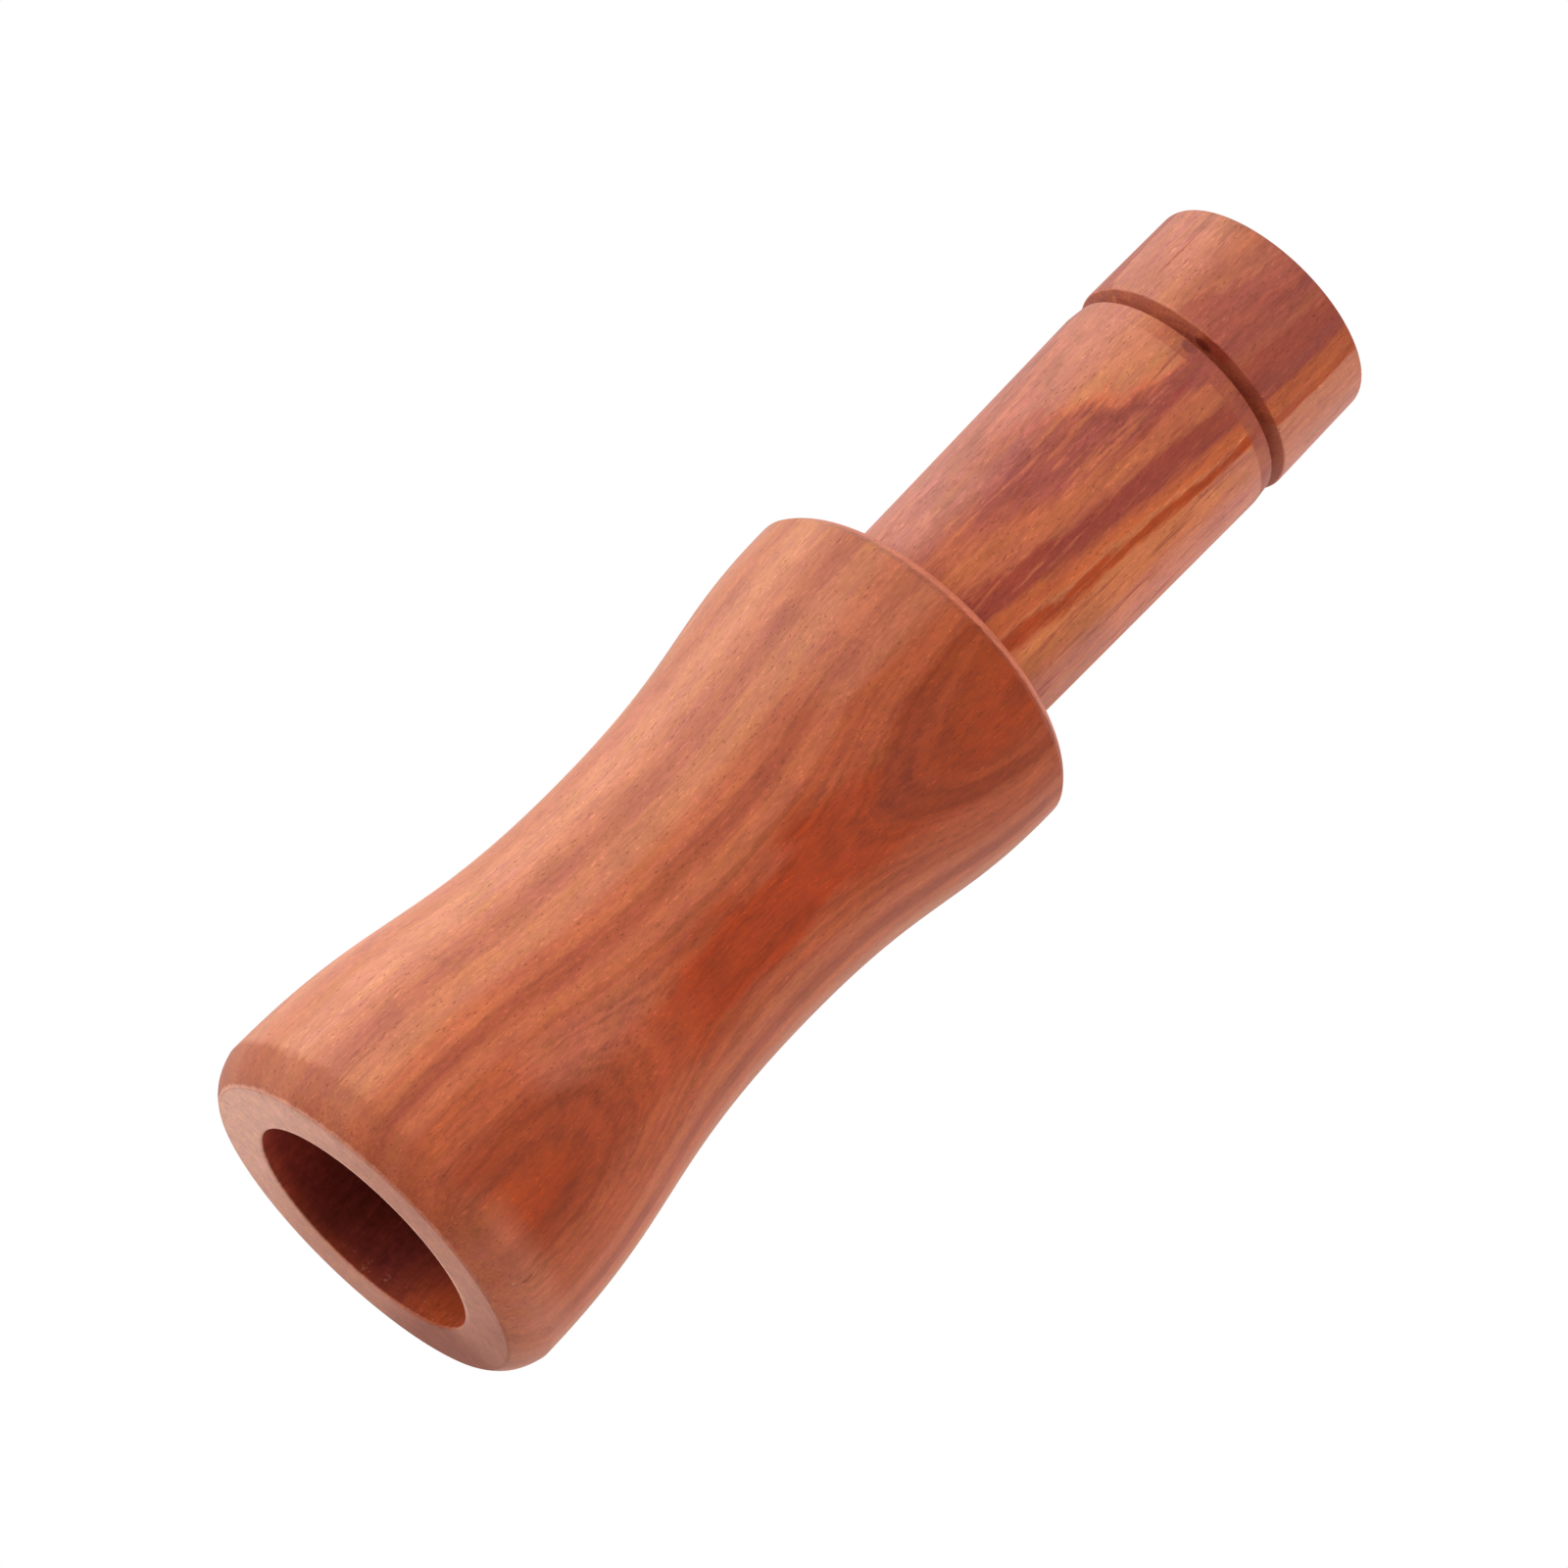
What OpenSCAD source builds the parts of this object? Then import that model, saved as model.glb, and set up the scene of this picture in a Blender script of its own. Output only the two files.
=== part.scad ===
// Wooden bird call: a turned barrel, a turned insert held in it by two O-rings,
// and the voice of the call, a tone board with two reeds under a cork wedge.
// The call stands on its mouth ring. Z runs along its axis, from the mouth to the exhaust.

/* [Barrel] */
// Length of the barrel
barrel_l = 69.7; // [64:0.1:76]
// Diameter of the bulge behind the rounded lip
bulge_d = 35.3; // [33.5:0.1:38]
// Diameter of the waist
waist_d = 28.4; // [26:0.1:31]
// Distance from the mouth face to the waist
waist_z = 38.1; // [32:0.1:44]
// Diameter of the rim that faces the insert
rim_d = 33.9; // [31.5:0.1:36]
// Outer diameter of the flat ring at the mouth
ring_d = 31.4; // [29:0.1:32.5]
// Length of the rounded lip, along the call
lip_l = 3.1; // [2:0.1:5]
// Length of the rim's eased edge, along the call
rim_edge_l = 2; // [1:0.1:3.5]
// Depth of the rim's eased edge, towards the axis
rim_edge_depth = 2.5; // [1:0.1:3.5]
// Diameter of the bore that takes the insert
bore_d = 19; // [18.6:0.05:20]
// Diameter of the wider bore at the mouth
mouth_bore_d = 22.2; // [20.5:0.1:24]
// Length of the wider bore at the mouth
mouth_bore_l = 9; // [6:0.1:11]
// Length of the taper between the two bores
bore_taper_l = 3; // [1:0.1:5]
// Bevel where the insert enters the bore
bore_bevel = 0.5; // [0.2:0.1:1]

/* [Insert] */
// Length of the insert that shows outside the barrel
exposed_l = 45.3; // [40:0.1:52]
// Diameter of the insert where it leaves the barrel
root_d = 21.3; // [20.6:0.1:23]
// Diameter of the insert ahead of the lanyard groove
body_end_d = 22.4; // [21:0.1:24]
// Diameter of the end band at the lanyard groove
band_front_d = 22.8; // [21.5:0.1:24.5]
// Diameter of the end band at the exhaust
band_end_d = 22.6; // [21:0.1:24.5]
// Length of the end band
band_l = 10.9; // [8:0.1:14]
// Radius of the end band's outer edge
band_edge_r = 0.4; // [0.2:0.1:1]
// Width of the lanyard groove
groove_w = 1.25; // [0.8:0.05:2]
// Depth of the lanyard groove
groove_depth = 1.3; // [0.6:0.1:1.8]
// Length of the soft shoulder ahead of the groove
shoulder_l = 1.8; // [0.8:0.1:3]
// Depth that the soft shoulder falls
shoulder_drop = 0.2; // [0.05:0.05:0.4]
// Diameter of the air bore
exhaust_d = 9.5; // [8:0.1:11]
// Diameter of the flared exhaust at its mouth
flare_d = 16; // [13:0.1:18]
// Length of the exhaust's flare
flare_l = 14; // [8:0.1:18]

/* [Tenon and O-rings] */
// Length of the tenon inside the barrel
tenon_l = 18; // [17:0.1:20]
// Radial gap between the tenon and the bore
tenon_fit = 0.15; // [0.05:0.05:0.3]
// Bevel on the tenon's free end
tenon_bevel = 0.6; // [0.2:0.1:1]
// Thickness of an O-ring
o_ring_t = 1.78; // [1.5:0.02:2]
// Radial gap between an O-ring, its groove and the bore
o_ring_fit = 0.03; // [0.01:0.01:0.06]
// Gap at each side of an O-ring in its groove
o_ring_side_gap = 0.2; // [0.1:0.05:0.5]
// Distance from the barrel's rim to the middle of the rear O-ring
rear_ring_dist = 4.5; // [3:0.1:6]
// Distance from the tenon's free end to the middle of the front O-ring
front_ring_dist = 5.5; // [4:0.1:7]

/* [Tone board] */
// Diameter of the stem that presses into the insert
stem_d = 12; // [11.9:0.1:12.6]
// Length of the stem
stem_l = 14; // [10:0.1:18]
// Radial gap between the stem and its socket
stem_fit = 0.02; // [0.01:0.01:0.05]
// Free depth of the socket behind the stem
socket_relief = 0.5; // [0.2:0.1:2]
// Length of the collar that clamps the reeds
collar_l = 9; // [7:0.1:11]
// Radial gap between the collar and the bore
collar_gap = 1.6; // [1.3:0.1:2]
// Wall round the reed slot in the collar
slot_wall = 1.3; // [0.9:0.1:1.6]
// Wall behind the reed slot
slot_back = 1.5; // [1:0.1:2.5]
// Length of the board ahead of the collar
board_l = 32; // [28:0.1:34]
// Width of the board
board_w = 11.6; // [11.2:0.1:11.8]
// Length of the board's full round heel, ahead of the collar
heel_l = 4; // [2:0.1:8]
// Height of the reed plane above the axis
reed_plane = 0.8; // [0.3:0.1:1.2]
// Length of the board's curved end
curve_l = 16; // [12:0.1:20]
// Gap between the lower reed and the board at the tip
tip_gap = 0.9; // [0.5:0.05:1.3]
// Thickness of the board at its tip
tip_t = 2.5; // [1.8:0.1:3.2]
// Radius of the tip's corners, seen from above
tip_corner_r = 3; // [1:0.1:4]
// Width of the channel in the board
air_w = 6; // [5.6:0.1:6.6]
// Diameter of the airway through the stem
stem_air_d = 5.4; // [4.6:0.1:5.5]
// Solid length between the tip and the channel
tip_land = 2.4; // [1.5:0.1:4]
// Depth of the channel at its shallow end
channel_front_depth = 1; // [0.5:0.1:1.4]
// Length over which the channel's floor ramps down
channel_ramp_l = 20; // [12:0.1:24]

/* [Reeds] */
// Width of the reeds
reed_w = 10.6; // [9:0.1:11]
// Gap at each side of the reeds in the slot
reed_side_gap = 0.15; // [0.05:0.05:0.3]
// Gap behind the reeds in the slot
reed_back_gap = 0.1; // [0:0.05:0.5]
// Thickness of the lower reed
lower_reed_t = 0.3; // [0.2:0.05:0.4]
// Thickness of the upper reed
upper_reed_t = 0.25; // [0.15:0.05:0.4]
// Distance that the upper reed stops short of the lower one
upper_setback = 2; // [0.5:0.1:4]
// Height that the upper reed stands off the lower one at its tip
upper_lift = 0.35; // [0.2:0.05:0.6]
// Cut at the corners of each reed's tip
reed_corner = 2.4; // [1:0.1:3.5]
// Diameter of the dimple under the upper reed
dimple_d = 2; // [1.2:0.1:3]
// Distance from the upper reed's tip to the dimple
dimple_dist = 7; // [4:0.1:10]
// Gap between the dimple and the lower reed
dimple_fit = 0.03; // [0.01:0.01:0.06]

/* [Wedge] */
// Length that the cork wedge stands out of its slot
wedge_proud = 0.6; // [0:0.1:1.5]
// Gap between the wedge and the slot's arch
wedge_fit = 0.02; // [0.01:0.01:0.05]
// Bevel along the wedge's front edge
wedge_bevel = 0.5; // [0.2:0.1:0.8]

/* [Hidden] */
$fn = 96;

// One overrun serves every cut
over = 1;
// Shares of each run of the barrel's side at which its curve handles lie
bulge_handle_share = 0.46;
waist_front_handle_share = 0.5;
waist_rear_handle_share = 0.55;
rim_handle_share = 0.4;
// How full the eased edges are, from 0, a flat bevel, to 1, a full round
lip_fullness_share = 0.45;
rim_fullness_share = 0.36;
// Shares of the flare's length and depth at which its curve handles lie
flare_start_share = 0.55;
flare_end_share = 0.2;
// Place of the lanyard groove's floor across its width, and the floor's width
groove_floor_share = 0.3;
groove_floor_w_share = 0.12;
// Straight lines to each curved stretch of an outline
side_steps = 28;
edge_steps = 8;
fall_steps = 12;
// Radius of the channel's round end, as a share of its width
channel_end_share = 0.7;

// Stations along the call
tenon_z = barrel_l - tenon_l;
collar_z = tenon_z - collar_l;
tip_z = collar_z - board_l;
curve_z = tip_z + curve_l;
slot_z = tenon_z - slot_back;
wedge_z = collar_z - wedge_proud;
end_z = barrel_l + exposed_l;
band_z = end_z - band_l;
groove_z = band_z - groove_w;
shoulder_z = groove_z - shoulder_l;
rear_ring_z = barrel_l - rear_ring_dist;
front_ring_z = tenon_z + front_ring_dist;
socket_z = tenon_z + stem_l + socket_relief;

// Radii
bore_r = bore_d / 2;
tenon_r = bore_r - tenon_fit;
o_ring_r = bore_r - o_ring_fit - o_ring_t / 2;
ring_groove_r = o_ring_r - o_ring_t / 2 - o_ring_fit;
socket_r = stem_d / 2 + stem_fit;
stem_r = stem_d / 2;
collar_r = bore_r - collar_gap;
air_r = air_w / 2;
slot_arch_r = collar_r - slot_wall;

// Heights above the call's axis
lower_reed_top = reed_plane + lower_reed_t;
reed_stack_top = lower_reed_top + upper_reed_t;

// A point of a curve with two end points and one handle
function bend(a, h, b, t) = a * pow(1 - t, 2) + h * 2 * t * (1 - t) + b * pow(t, 2);

// A point of a curve with two end points and two handles
function sweep(a, g, h, b, t) =
    a * pow(1 - t, 3) + g * 3 * t * pow(1 - t, 2) + h * 3 * pow(t, 2) * (1 - t) + b * pow(t, 3);

// An eased edge between two points of an outline, bulging towards their corner
function eased(a, b, corner, fullness) = [
    for (i = [0 : edge_steps])
        bend(a, (a + b) / 2 * (1 - fullness) + corner * fullness, b, i / edge_steps)
];

// A smooth side that leaves its first point and reaches its last one along the call
function side(a, b, first_share, last_share) = [
    for (i = [1 : side_steps - 1])
        sweep(
            a, [a[0], a[1] + (b[1] - a[1]) * first_share],
            [b[0], b[1] - (b[1] - a[1]) * last_share], b, i / side_steps
        )
];

// A list in the opposite order
function backwards(list) = [for (i = [len(list) - 1 : -1 : 0]) list[i]];

// Outline of the barrel's outside, as radius and height
function barrel_side() =
    let (
        bulge = [bulge_d / 2, lip_l],
        waist = [waist_d / 2, waist_z],
        rim = [rim_d / 2, barrel_l - rim_edge_l]
    )
    concat(
        eased([ring_d / 2, 0], bulge, [bulge_d / 2, 0], lip_fullness_share),
        side(bulge, waist, bulge_handle_share, waist_front_handle_share),
        [waist],
        side(waist, rim, waist_rear_handle_share, rim_handle_share),
        eased(rim, [rim_d / 2 - rim_edge_depth, barrel_l], [rim_d / 2, barrel_l], rim_fullness_share)
    );

module barrel() {
    bore_side = [
        [bore_r + bore_bevel, barrel_l], [bore_r, barrel_l - bore_bevel],
        [bore_r, mouth_bore_l + bore_taper_l], [mouth_bore_d / 2, mouth_bore_l],
        [mouth_bore_d / 2, 0]
    ];
    color("#b8653f")
        rotate_extrude()
            polygon(concat(barrel_side(), bore_side));
}

// Outline of the groove that seats an O-ring round height z
function ring_seat(z) =
    let (half_w = o_ring_t / 2 + o_ring_side_gap)
    [
        [tenon_r, z - half_w], [ring_groove_r, z - half_w],
        [ring_groove_r, z + half_w], [tenon_r, z + half_w]
    ];

// Outline of the insert's outside, from the tenon's free end to the exhaust
function insert_side() =
    let (
        body_r = body_end_d / 2,
        floor_r = body_r - shoulder_drop - groove_depth,
        floor_z = groove_z + groove_w * groove_floor_share,
        band_r = band_end_d / 2
    )
    concat(
        [[tenon_r - tenon_bevel, tenon_z], [tenon_r, tenon_z + tenon_bevel]],
        ring_seat(front_ring_z),
        ring_seat(rear_ring_z),
        [[tenon_r, barrel_l], [root_d / 2, barrel_l], [body_r, shoulder_z]],
        [[body_r - shoulder_drop, groove_z], [floor_r, floor_z]],
        [[floor_r, floor_z + groove_w * groove_floor_w_share], [band_front_d / 2, band_z]],
        eased([band_r, end_z - band_edge_r], [band_r - band_edge_r, end_z], [band_r, end_z], 1)
    );

// Outline of the insert's inside, from the flared exhaust back to the stem's socket
function insert_bore() =
    let (
        flare_start = [exhaust_d / 2, end_z - flare_l],
        flare_end = [flare_d / 2, end_z]
    )
    concat(
        backwards([
            for (i = [0 : side_steps])
                sweep(
                    flare_start, flare_start + [0, flare_l * flare_start_share],
                    flare_end - [(flare_d - exhaust_d) / 2, flare_l] * flare_end_share,
                    flare_end, i / side_steps
                )
        ]),
        [[exhaust_d / 2, socket_z], [socket_r, socket_z], [socket_r, tenon_z]]
    );

module insert() {
    color("#a9573a")
        rotate_extrude()
            polygon(concat(insert_side(), insert_bore()));
}

module o_ring(z) {
    color("#1c1c1e")
        translate([0, 0, z])
            rotate_extrude()
                translate([o_ring_r, 0])
                    circle(d = o_ring_t, $fn = 48);
}

module front_o_ring() { o_ring(front_ring_z); }

module rear_o_ring() { o_ring(rear_ring_z); }

// Extrudes an outline drawn as height along the call and height above its axis, across x
module across(w) {
    rotate([0, -90, 0])
        linear_extrude(w, center = true)
            children();
}

// Extrudes an outline drawn as place across x and height along the call, from y0 to y1
module upward(y0, y1) {
    translate([0, y1, 0])
        rotate([90, 0, 0])
            linear_extrude(y1 - y0)
                children();
}

// The board seen from its side: flat ahead of the collar, then falling away to the tip
module board_side() {
    tip_floor = reed_plane - tip_gap - tip_t;
    slope = (stem_r + tip_floor) / (board_l - heel_l);
    polygon(concat(
        [
            for (i = [0 : fall_steps])
                let (out_share = i / fall_steps)
                [curve_z - curve_l * out_share, reed_plane - tip_gap * pow(out_share, 2)]
        ],
        [[tip_z, tip_floor], [collar_z, tip_floor - slope * board_l], [collar_z, reed_plane]]
    ));
}

// The board seen from above: a bar with rounded corners at its tip
module board_plan() {
    corner_x = board_w / 2 - tip_corner_r;
    translate([-board_w / 2, tip_z + tip_corner_r])
        square([board_w, board_l - tip_corner_r]);
    translate([-corner_x, tip_z])
        square([2 * corner_x, tip_corner_r]);
    for (x = [-corner_x, corner_x])
        translate([x, tip_z + tip_corner_r])
            circle(r = tip_corner_r);
}

// The open channel: a round-bottomed trough whose floor ramps up and ends round ahead
module channel() {
    front_z = tip_z + tip_land;
    top_y = reed_plane + over;
    end_r = air_w * channel_end_share;
    intersection() {
        translate([0, 0, front_z])
            linear_extrude(slot_z - front_z) {
                circle(d = air_w);
                translate([-air_r, 0])
                    square([air_w, top_y]);
            }
        across(2 * end_r)
            polygon([
                [front_z, reed_plane - tip_gap - channel_front_depth],
                [front_z + channel_ramp_l, -air_r - over], [slot_z + over, -air_r - over],
                [slot_z + over, top_y + over], [front_z, top_y + over]
            ]);
        upward(-air_r - 2 * over, top_y + 2 * over) {
            translate([0, front_z + end_r])
                circle(r = end_r);
            translate([-end_r, front_z + end_r])
                square([2 * end_r, slot_z - front_z]);
        }
    }
}

// Cross-section of the reed slot above a given height, with its arch drawn in by a gap
module slot_section(floor_y, arch_gap) {
    half_w = reed_w / 2 + reed_side_gap;
    intersection() {
        circle(r = slot_arch_r - arch_gap);
        translate([-half_w, floor_y])
            square([2 * half_w, slot_arch_r]);
    }
}

module tone_board() {
    color("#2b2a2c")
        difference() {
            union() {
                translate([0, 0, tenon_z])
                    cylinder(d = stem_d, h = stem_l);
                translate([0, 0, collar_z])
                    cylinder(r = collar_r, h = collar_l);
                intersection() {
                    translate([0, 0, tip_z])
                        cylinder(d = stem_d, h = board_l);
                    across(stem_d + over)
                        board_side();
                    upward(-stem_d, stem_d)
                        board_plan();
                }
            }
            translate([0, 0, collar_z - over])
                linear_extrude(slot_z - collar_z + over)
                    slot_section(reed_plane, 0);
            channel();
            translate([0, 0, slot_z - over])
                cylinder(d = stem_air_d, h = slot_back + stem_l + 2 * over);
        }
}

// A reed seen from above: square in the slot, with cut corners at its tip
module reed_plan(front_z) {
    half_w = reed_w / 2;
    polygon([
        [-half_w, slot_z - reed_back_gap], [-half_w, front_z + reed_corner],
        [reed_corner - half_w, front_z], [half_w - reed_corner, front_z],
        [half_w, front_z + reed_corner], [half_w, slot_z - reed_back_gap]
    ]);
}

module lower_reed() {
    color("#e7dfc6")
        upward(reed_plane, lower_reed_top)
            reed_plan(tip_z);
}

// The upper reed lies flat under the wedge and lifts off the lower one ahead of it
module upper_reed() {
    front_z = tip_z + upper_setback;
    rise_per_mm = upper_lift / (wedge_z - front_z);
    dimple_z = front_z + dimple_dist;
    dimple_rise = rise_per_mm * (wedge_z - dimple_z);
    color("#d8cfae")
        union() {
            intersection() {
                across(reed_w)
                    polygon([
                        [front_z, lower_reed_top + upper_lift], [wedge_z, lower_reed_top],
                        [slot_z, lower_reed_top], [slot_z, reed_stack_top],
                        [wedge_z, reed_stack_top], [front_z, reed_stack_top + upper_lift]
                    ]);
                upward(lower_reed_top, reed_stack_top + upper_lift)
                    reed_plan(front_z);
            }
            translate([0, 0, dimple_z])
                upward(lower_reed_top + dimple_fit, lower_reed_top + dimple_rise + upper_reed_t / 2)
                    circle(d = dimple_d);
        }
}

module wedge() {
    color("#c99b63")
        intersection() {
            translate([0, 0, wedge_z])
                linear_extrude(slot_z - wedge_z)
                    slot_section(reed_stack_top, wedge_fit);
            across(reed_w + 2 * reed_side_gap)
                polygon([
                    [wedge_z, reed_stack_top], [slot_z, reed_stack_top],
                    [slot_z, slot_arch_r], [wedge_z + wedge_bevel, slot_arch_r],
                    [wedge_z, slot_arch_r - wedge_bevel]
                ]);
        }
}

barrel();
insert();
front_o_ring();
rear_o_ring();
tone_board();
lower_reed();
upper_reed();
wedge();
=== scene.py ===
"""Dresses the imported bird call: turned wood outside, a tone board with two reeds inside."""
import math

import bpy
from mathutils import Matrix, Vector


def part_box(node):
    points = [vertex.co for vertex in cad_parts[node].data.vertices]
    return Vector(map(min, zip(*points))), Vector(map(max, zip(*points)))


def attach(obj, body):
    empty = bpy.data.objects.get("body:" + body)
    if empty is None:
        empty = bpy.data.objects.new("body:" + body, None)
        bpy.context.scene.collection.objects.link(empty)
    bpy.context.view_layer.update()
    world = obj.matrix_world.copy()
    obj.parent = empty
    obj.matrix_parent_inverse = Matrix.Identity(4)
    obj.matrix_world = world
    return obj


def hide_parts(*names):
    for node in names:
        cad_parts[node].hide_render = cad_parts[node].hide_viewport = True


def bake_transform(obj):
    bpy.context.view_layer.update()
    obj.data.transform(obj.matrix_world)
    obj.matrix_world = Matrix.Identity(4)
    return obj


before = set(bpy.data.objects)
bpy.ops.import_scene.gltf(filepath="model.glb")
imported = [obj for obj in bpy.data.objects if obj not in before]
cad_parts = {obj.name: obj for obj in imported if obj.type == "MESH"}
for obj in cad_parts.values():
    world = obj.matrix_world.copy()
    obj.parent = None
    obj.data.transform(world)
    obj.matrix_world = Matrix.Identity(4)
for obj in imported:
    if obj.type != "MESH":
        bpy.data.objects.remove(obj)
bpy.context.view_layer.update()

MM = 0.001
TURN_STEPS = 256  # faces round a turned piece
CURVE_STEPS = 48  # lines to a long curve of an outline
ROUND_STEPS = 5  # lines to a rounded corner
REED_STEPS = 64  # even faces along a reed
REED_HALF_STEPS = 8  # faces to half a reed's width

# Sizes of the barrel in mm, as the CAD holds them, with heights above the mouth ring
BARREL_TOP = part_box("barrel")[1].z / MM
RING_R = 15.7
BULGE_R = 17.65
LIP_L = 3.1
WAIST_R = 14.2
WAIST_Z = 38.1
RIM_R = 16.95
RIM_TOP_R = 14.45
RIM_EDGE_L = 2
BORE_R = 9.5
BORE_BEVEL = 0.5
BORE_TAPER_L = 3
MOUTH_BORE_R = 11.1
MOUTH_BORE_L = 9

# Sizes of the insert in mm
CALL_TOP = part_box("insert")[1].z / MM
TENON_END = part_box("insert")[0].z / MM
TENON_FIT = 0.15
TENON_R = BORE_R - TENON_FIT
TENON_BEVEL = 0.6
ROOT_R = 10.65
BODY_END_R = 11.2
SHOULDER_L = 1.8
SHOULDER_DROP = 0.2
BAND_FRONT_R = 11.4
BAND_END_R = 11.3
BAND_L = 10.9
BAND_EDGE_R = 0.4
GROOVE_W = 1.25
GROOVE_FLOOR_R = 9.7
GROOVE_Z = CALL_TOP - BAND_L - GROOVE_W
AIR_R = 4.75
FLARE_R = 8
FLARE_L = 14
SOCKET_R = 6.02
SOCKET_L = 14.5

# Sizes of the O-rings and the reeds in mm
O_RING_T = 1.78
O_RING_FIT = 0.03
O_RING_SIDE_GAP = 0.2
LOWER_REED_T = 0.3
UPPER_REED_T = 0.25
UPPER_LIFT = 0.35
REED_CORNER = 2.4
DIMPLE_R = 1.0
DIMPLE_DIST = 7
DIMPLE_FIT = 0.03


# Outlines, as radius and height in mm
def bend(a, h, b, t):
    """A point of a curve with two end points and one handle."""
    return a * (1 - t) ** 2 + h * 2 * t * (1 - t) + b * t ** 2


def sweep(a, g, h, b, t):
    """A point of a curve with two end points and two handles."""
    return a * (1 - t) ** 3 + g * 3 * t * (1 - t) ** 2 + h * 3 * t ** 2 * (1 - t) + b * t ** 3


def eased(a, b, corner, fullness):
    """An eased edge between two points, bulging towards their corner."""
    a, b, corner = Vector(a), Vector(b), Vector(corner)
    handle = (a + b) / 2 * (1 - fullness) + corner * fullness
    return [bend(a, handle, b, i / CURVE_STEPS) for i in range(CURVE_STEPS + 1)]


def flowing(a, b, first_share, last_share):
    """A smooth side that leaves a and reaches b along the call."""
    a, b = Vector(a), Vector(b)
    rise = Vector((0, b.y - a.y))
    return [
        sweep(a, a + rise * first_share, b - rise * last_share, b, i / CURVE_STEPS)
        for i in range(1, CURVE_STEPS)
    ]


def rounded(outline, least_turn=12, radius=0.25):
    """The outline with each corner that turns more than least_turn degrees rounded off."""
    points = [Vector(p) for p in outline]
    out = []
    for i, corner in enumerate(points):
        to_last = points[i - 1] - corner
        to_next = points[(i + 1) % len(points)] - corner
        if math.pi - to_last.angle(to_next) < math.radians(least_turn):
            out.append(corner)
            continue
        a = corner + to_last.normalized() * min(radius, to_last.length * 0.45)
        b = corner + to_next.normalized() * min(radius, to_next.length * 0.45)
        out += [bend(a, corner, b, j / ROUND_STEPS) for j in range(ROUND_STEPS + 1)]
    return out


def barrel_outline():
    """The lip, the waisted side, the eased rim and the stepped bore."""
    bulge, waist, rim = (BULGE_R, LIP_L), (WAIST_R, WAIST_Z), (RIM_R, BARREL_TOP - RIM_EDGE_L)
    lip = eased((RING_R, 0), bulge, (BULGE_R, 0), fullness=0.45)
    lower_side = flowing(bulge, waist, first_share=0.46, last_share=0.5)
    upper_side = flowing(waist, rim, first_share=0.55, last_share=0.4)
    edge = eased(rim, (RIM_TOP_R, BARREL_TOP), (RIM_R, BARREL_TOP), fullness=0.36)
    bore = [
        (BORE_R + BORE_BEVEL, BARREL_TOP), (BORE_R, BARREL_TOP - BORE_BEVEL),
        (BORE_R, MOUTH_BORE_L + BORE_TAPER_L), (MOUTH_BORE_R, MOUTH_BORE_L), (MOUTH_BORE_R, 0),
    ]
    return lip + lower_side + [Vector(waist)] + upper_side + edge + bore


def ring_seat(o_ring):
    """The seat turned into the tenon for an O-ring."""
    low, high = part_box(o_ring)
    z = (low.z + high.z) / 2 / MM
    half_w = O_RING_T / 2 + O_RING_SIDE_GAP
    seat_r = high.x / MM - O_RING_T - O_RING_FIT
    return [(TENON_R, z - half_w), (seat_r, z - half_w), (seat_r, z + half_w), (TENON_R, z + half_w)]


def insert_outline():
    """The tenon and its seats, the body, the lanyard groove, the end band, the flare and the bores."""
    tenon = [(TENON_R - TENON_BEVEL, TENON_END), (TENON_R, TENON_END + TENON_BEVEL)]
    seats = ring_seat("front_o_ring") + ring_seat("rear_o_ring")
    body = [
        (TENON_R, BARREL_TOP), (ROOT_R, BARREL_TOP),
        (BODY_END_R, GROOVE_Z - SHOULDER_L), (BODY_END_R - SHOULDER_DROP, GROOVE_Z),
    ]
    floor_start, floor_end = GROOVE_Z + GROOVE_W * 0.3, GROOVE_Z + GROOVE_W * 0.42
    groove = [
        (GROOVE_FLOOR_R, floor_start), (GROOVE_FLOOR_R, floor_end), (BAND_FRONT_R, GROOVE_Z + GROOVE_W),
    ]
    mid_edge = BAND_EDGE_R * 0.3
    band = [
        (BAND_END_R, CALL_TOP - BAND_EDGE_R), (BAND_END_R - mid_edge, CALL_TOP - mid_edge),
        (BAND_END_R - BAND_EDGE_R, CALL_TOP),
    ]
    flare_low, flare_top = Vector((AIR_R, CALL_TOP - FLARE_L)), Vector((FLARE_R, CALL_TOP))
    run = flare_top - flare_low
    handles = flare_top - run * 0.2, flare_low + Vector((0, run.y * 0.55))
    flare = [sweep(flare_top, *handles, flare_low, i / CURVE_STEPS) for i in range(CURVE_STEPS + 1)]
    socket_end = TENON_END + SOCKET_L
    bores = [(AIR_R, socket_end), (SOCKET_R, socket_end), (SOCKET_R, TENON_END)]
    return tenon + seats + body + groove + band + flare + bores


# Meshes
def add_object(name, verts, faces):
    mesh = bpy.data.meshes.new(name)
    mesh.from_pydata(verts, [], faces)
    mesh.update()
    mesh.shade_smooth()
    obj = bpy.data.objects.new(name, mesh)
    bpy.context.scene.collection.objects.link(obj)
    return obj


def turned(name, outline):
    """A solid turned round Z from a closed outline, with its corners a little rounded."""
    profile = rounded(outline)
    verts = [
        (p[0] * MM * math.sin(a), -p[0] * MM * math.cos(a), p[1] * MM)
        for p in profile
        for a in (2 * math.pi * i / TURN_STEPS for i in range(TURN_STEPS))
    ]
    faces = []
    for i in range(len(profile)):
        this, after = i * TURN_STEPS, (i + 1) % len(profile) * TURN_STEPS
        for j in range(TURN_STEPS):
            k = (j + 1) % TURN_STEPS
            faces.append((this + j, this + k, after + k, after + j))
    obj = add_object(name, verts, faces)
    weighted = obj.modifiers.new("Even shading", "WEIGHTED_NORMAL")
    weighted.weight = 80
    return obj


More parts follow.
